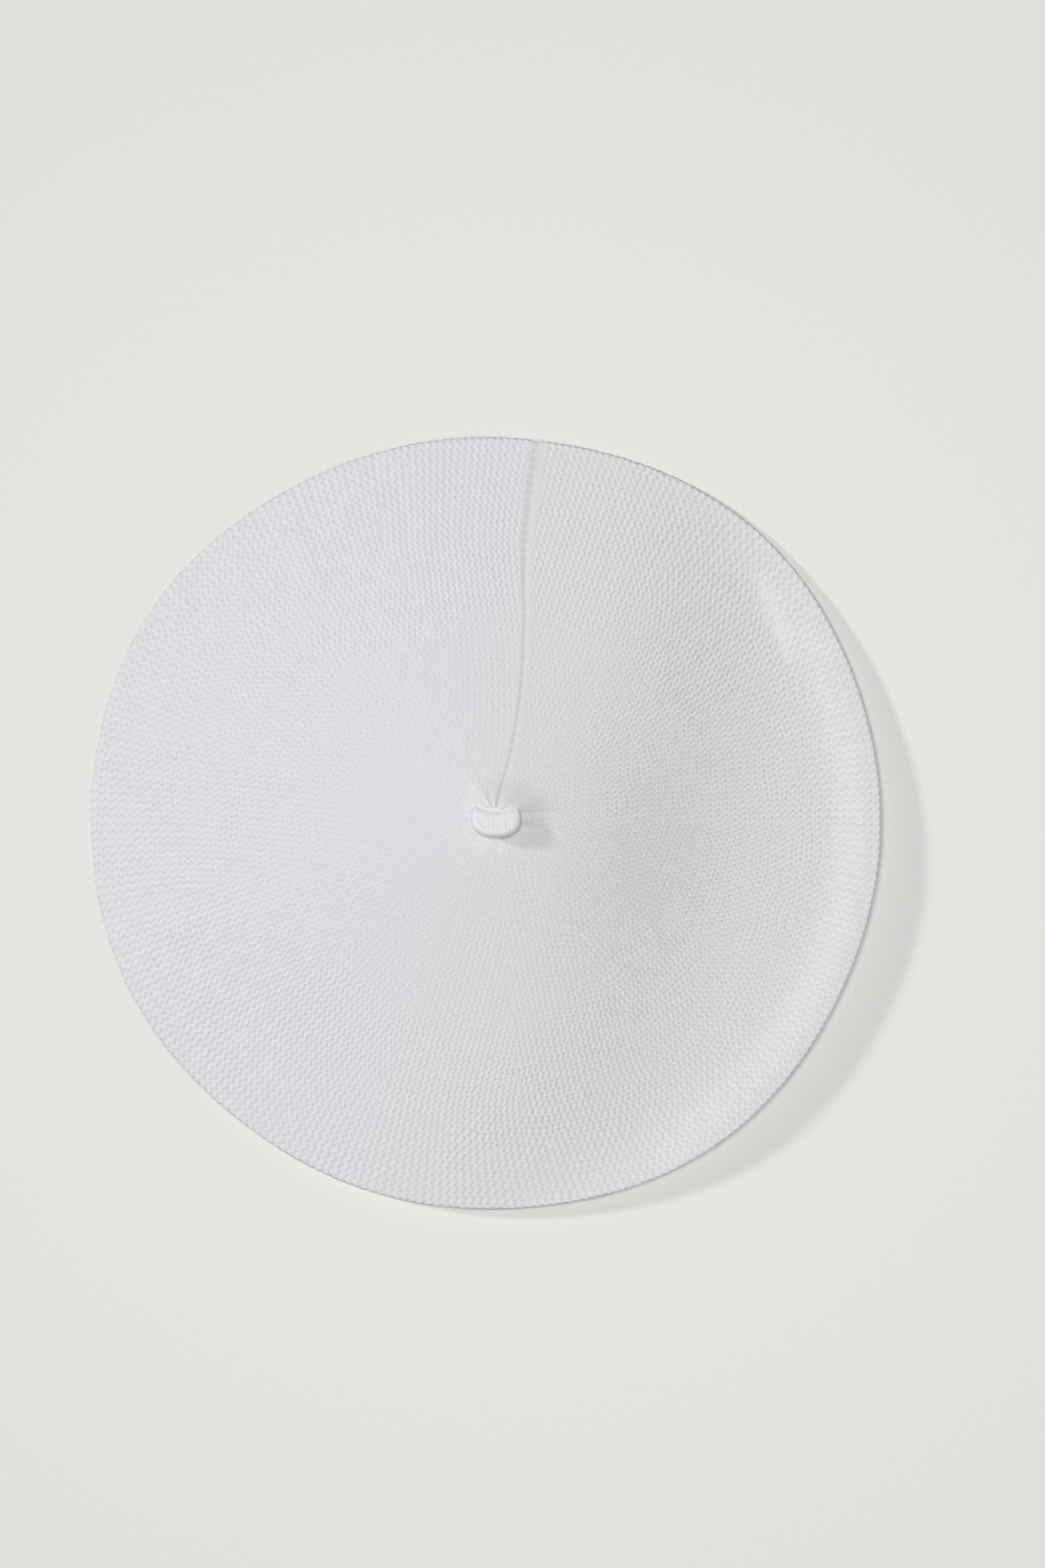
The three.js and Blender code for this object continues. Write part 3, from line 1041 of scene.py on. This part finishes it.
def mixed(tree, share, first, second):
    """A mix of two colours."""
    node = tree.nodes.new("ShaderNodeMix")
    node.data_type = "RGBA"
    tree.links.new(share, node.inputs["Factor"])
    tree.links.new(first, node.inputs["A"])
    tree.links.new(second, node.inputs["B"])
    return node.outputs["Result"]


print("materials that came with the solids:", [m.name for m in bpy.data.materials])

# %% [markdown]
# ## Fuzz, dye, painted shade and painted light
#
# Cotton has no gloss; what it has is fuzz. Each fabric here has a fine bump of loose fibres, and
# mixes two dye colours by soft blotches and, as painted shade, by how deep a point lies. The
# crown's left half, on the side the lamps come from, is also painted cooler than its right half:
# painted light. Fuzz and dye with its painted shade are needed by every fabric, so they are node
# groups, and the painted cool light is a third.

# %% Node groups
fuzz, _, fuzz_out = node_group("yarn_fuzz", [], [("Height", "NodeSocketFloat", None)])
strands = noise(fuzz, 900, 5)
clumps = noise(fuzz, 260, 3)
fuzz.links.new(calculate(fuzz, "ADD", strands, clumps), fuzz_out.inputs["Height"])

dye, dye_in, dye_out = node_group(
    "cotton_dye_and_painted_shade",
    [
        ("Light", "NodeSocketColor", (1, 1, 1, 1)),
        ("Deep", "NodeSocketColor", (1, 1, 1, 1)),
        ("Depth", "NodeSocketFloat", 0.0),
    ],
    [("Color", "NodeSocketColor", None)],
)
blotch = calculate(dye, "MULTIPLY", noise(dye, 420, 4), 0.4)
depth = calculate(dye, "ADD", blotch, dye_in.outputs["Depth"])
dye.links.new(mixed(dye, depth, dye_in.outputs["Light"], dye_in.outputs["Deep"]), dye_out.inputs["Color"])

# Painted light: a mask that paints the crown's left half, on the lamps' side, a cooler white.
side, _, side_out = node_group("painted_cool_light", [], [("Mask", "NodeSocketFloat", None)])
place, split = side.nodes.new("ShaderNodeTexCoord"), side.nodes.new("ShaderNodeSeparateXYZ")
side.links.new(place.outputs["Object"], split.inputs[0])
along_x = calculate(side, "MULTIPLY", split.outputs["X"], math.cos(FOLD_BEARING))
along_y = calculate(side, "MULTIPLY", split.outputs["Y"], math.sin(FOLD_BEARING))
ramp = side.nodes.new("ShaderNodeMapRange")
ramp.interpolation_type = "SMOOTHSTEP"
ramp.inputs["From Min"].default_value = -0.03
ramp.inputs["From Max"].default_value = 0.045
side.links.new(calculate(side, "ADD", along_x, along_y), ramp.inputs["Value"])
side.links.new(ramp.outputs["Result"], side_out.inputs["Mask"])
print("node groups:", [g.name for g in bpy.data.node_groups])

# %% [markdown]
# ## A matt cloth
#
# Knit, thread, tape and paper are all matt, and differ only in how rough they are, how deep their
# fibres stand and what they are dyed with. So one function makes the shader of each, and another
# gives it its two colours. The constant values are set on the shader itself.

# %% A matt cloth


def material(name, roughness, bump):
    """A matt cloth: its shader, its tree, and the yarn's fuzz as a bump."""
    made = bpy.data.materials.new(name)
    made.use_nodes = True
    tree = made.node_tree
    shader = tree.nodes["Principled BSDF"]
    shader.inputs["Roughness"].default_value = roughness
    shader.inputs["Specular IOR Level"].default_value = 0.25
    relief = tree.nodes.new("ShaderNodeBump")
    relief.inputs["Strength"].default_value = bump
    relief.inputs["Distance"].default_value = 0.0003
    fibres = tree.nodes.new("ShaderNodeGroup")
    fibres.node_tree = fuzz
    tree.links.new(fibres.outputs["Height"], relief.inputs["Height"])
    tree.links.new(relief.outputs["Normal"], shader.inputs["Normal"])
    return made, tree, shader


def dyed(tree, light, deep, depth=None):
    """The dye group with its two colours; depth is a socket, and mixes in the darker one as painted shade.
    """
    node = tree.nodes.new("ShaderNodeGroup")
    node.node_tree = dye
    node.inputs["Light"].default_value = (*light, 1)
    node.inputs["Deep"].default_value = (*deep, 1)
    if depth is not None:
        tree.links.new(depth, node.inputs["Depth"])
    return node.outputs["Color"]


print("groups that a cloth uses:", fuzz.name, "and", dye.name)

# %% [markdown]
# ## Yarn, thread and tape
#
# The knit is painted a cool white on the crown's left half, where the lamps come from, and a
# neutral white on its right half, and the two meet along the crown's fold: painted light. Deep
# between the cords less light gets in than a renderer shows, so the mark made on the mesh
# darkens the colour there: painted shade. The seam's groove is painted a darker, warmer grey as
# its shade. Thread and tape are a plain off-white.

# %% Materials
# Painted light and shade: each pair is a white and a darker one. The darker one is mixed in by blotches
# and, as painted shade, in the hollows. The left pair is painted cooler, as painted light.
PAINTED_COOL_LEFT = ((0.808, 0.824, 0.848), (0.663, 0.677, 0.698))
NEUTRAL_RIGHT = ((0.803, 0.805, 0.808), (0.659, 0.661, 0.663))
# Painted shade in the seam's groove: a darker, warm grey instead of the knit's white.
PAINTED_GROOVE_SHADE = (0.645, 0.642, 0.622)

cotton, tree, shader = material("white_cotton", 0.95, 0.7)
painted_hollow_shade, in_groove = tree.nodes.new("ShaderNodeAttribute"), tree.nodes.new("ShaderNodeAttribute")
painted_hollow_shade.attribute_name, in_groove.attribute_name = "painted_hollow_shade", "groove"
depth = painted_hollow_shade.outputs["Fac"]
lit_side_mask = tree.nodes.new("ShaderNodeGroup")
lit_side_mask.node_tree = side
white = mixed(tree, lit_side_mask.outputs["Mask"], dyed(tree, *PAINTED_COOL_LEFT, depth), dyed(tree, *NEUTRAL_RIGHT, depth))
painted_groove_shade = dyed(tree, PAINTED_GROOVE_SHADE, PAINTED_GROOVE_SHADE)
tree.links.new(mixed(tree, in_groove.outputs["Fac"], white, painted_groove_shade), shader.inputs["Base Color"])

thread, tree, shader = material("sewing_cotton", 0.85, 0.3)
tree.links.new(dyed(tree, (0.72, 0.72, 0.70), (0.64, 0.64, 0.61)), shader.inputs["Base Color"])

tape, tree, shader = material("braided_tape", 0.6, 0.4)
tree.links.new(dyed(tree, (0.70, 0.70, 0.66), (0.58, 0.58, 0.54)), shader.inputs["Base Color"])

for piece in (knit_sheet, seam_ladder, seam_ridge, stalk, head_band):
    piece.data.materials.append(cotton)
for piece in (rosette, chain):
    piece.data.materials.append(thread)
elastic.data.materials.append(tape)
print("materials:", [m.name for m in bpy.data.materials if m.users])

# %% [markdown]
# ## The table
#
# The beret lies on seamless white paper, which has only a faint tooth. It is painted a little
# greyer away from the middle, a painted shade where the light falls off. One large square is
# enough, because paper has no edge within sight. It is staged, as it isn't part of the object.

# %% The table
PAPER_SIDE = 8.0  # metres
CORNERS = ((-1, -1), (1, -1), (1, 1), (-1, 1))
floor_mesh = bpy.data.meshes.new("paper_sheet")
corners = [(x * PAPER_SIDE / 2, y * PAPER_SIDE / 2, 0) for x, y in CORNERS]
floor_mesh.from_pydata(corners, [], [(0, 1, 2, 3)])
floor = bpy.data.objects.new("paper_sheet", floor_mesh)
bpy.context.scene.collection.objects.link(floor)
floor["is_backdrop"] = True
paper, tree, shader = material("studio_paper", 0.9, 0.08)
place, reach = tree.nodes.new("ShaderNodeTexCoord"), tree.nodes.new("ShaderNodeVectorMath")
reach.operation = "LENGTH"
tree.links.new(place.outputs["Object"], reach.inputs[0])
# Painted shade: the paper's colour darkens from 0.2 to 0.45 m out from the middle.
outward = tree.nodes.new("ShaderNodeMapRange")
outward.inputs["From Min"].default_value = 0.2
outward.inputs["From Max"].default_value = 0.45
tree.links.new(reach.outputs["Value"], outward.inputs["Value"])
paper_with_painted_falloff = dyed(tree, (0.796, 0.795, 0.777), (0.744, 0.742, 0.724), outward.outputs["Result"])
tree.links.new(paper_with_painted_falloff, shader.inputs["Base Color"])
floor_mesh.materials.append(paper)
print("paper of", PAPER_SIDE, "m each way")

# %% [markdown]
# ## What each soft piece is
#
# The body is knitted flat and sideways: one strip as wide as the line from the stalk over the
# rim to the opening, and as long as the rim is round. Its short courses leave out the wedges
# between the gores, so the cloth is little more than half that rectangle. The hem is a narrow
# band folded double, and the stalk one small tab.

# %% What each soft piece is
print("declared sheets:", [piece.name for piece in (knit_sheet, head_band, stalk)])

# %% [markdown]
# ## Sizes
#
# The pieces stay in the imported solids' box, give or take a few millimetres, and their own box is
# printed.

# %% Sizes
visual_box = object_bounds()
low, high = [[round(v / MM, 1) for v in corner] for corner in visual_box]
print("the beret goes from", low, "to", high, "mm")
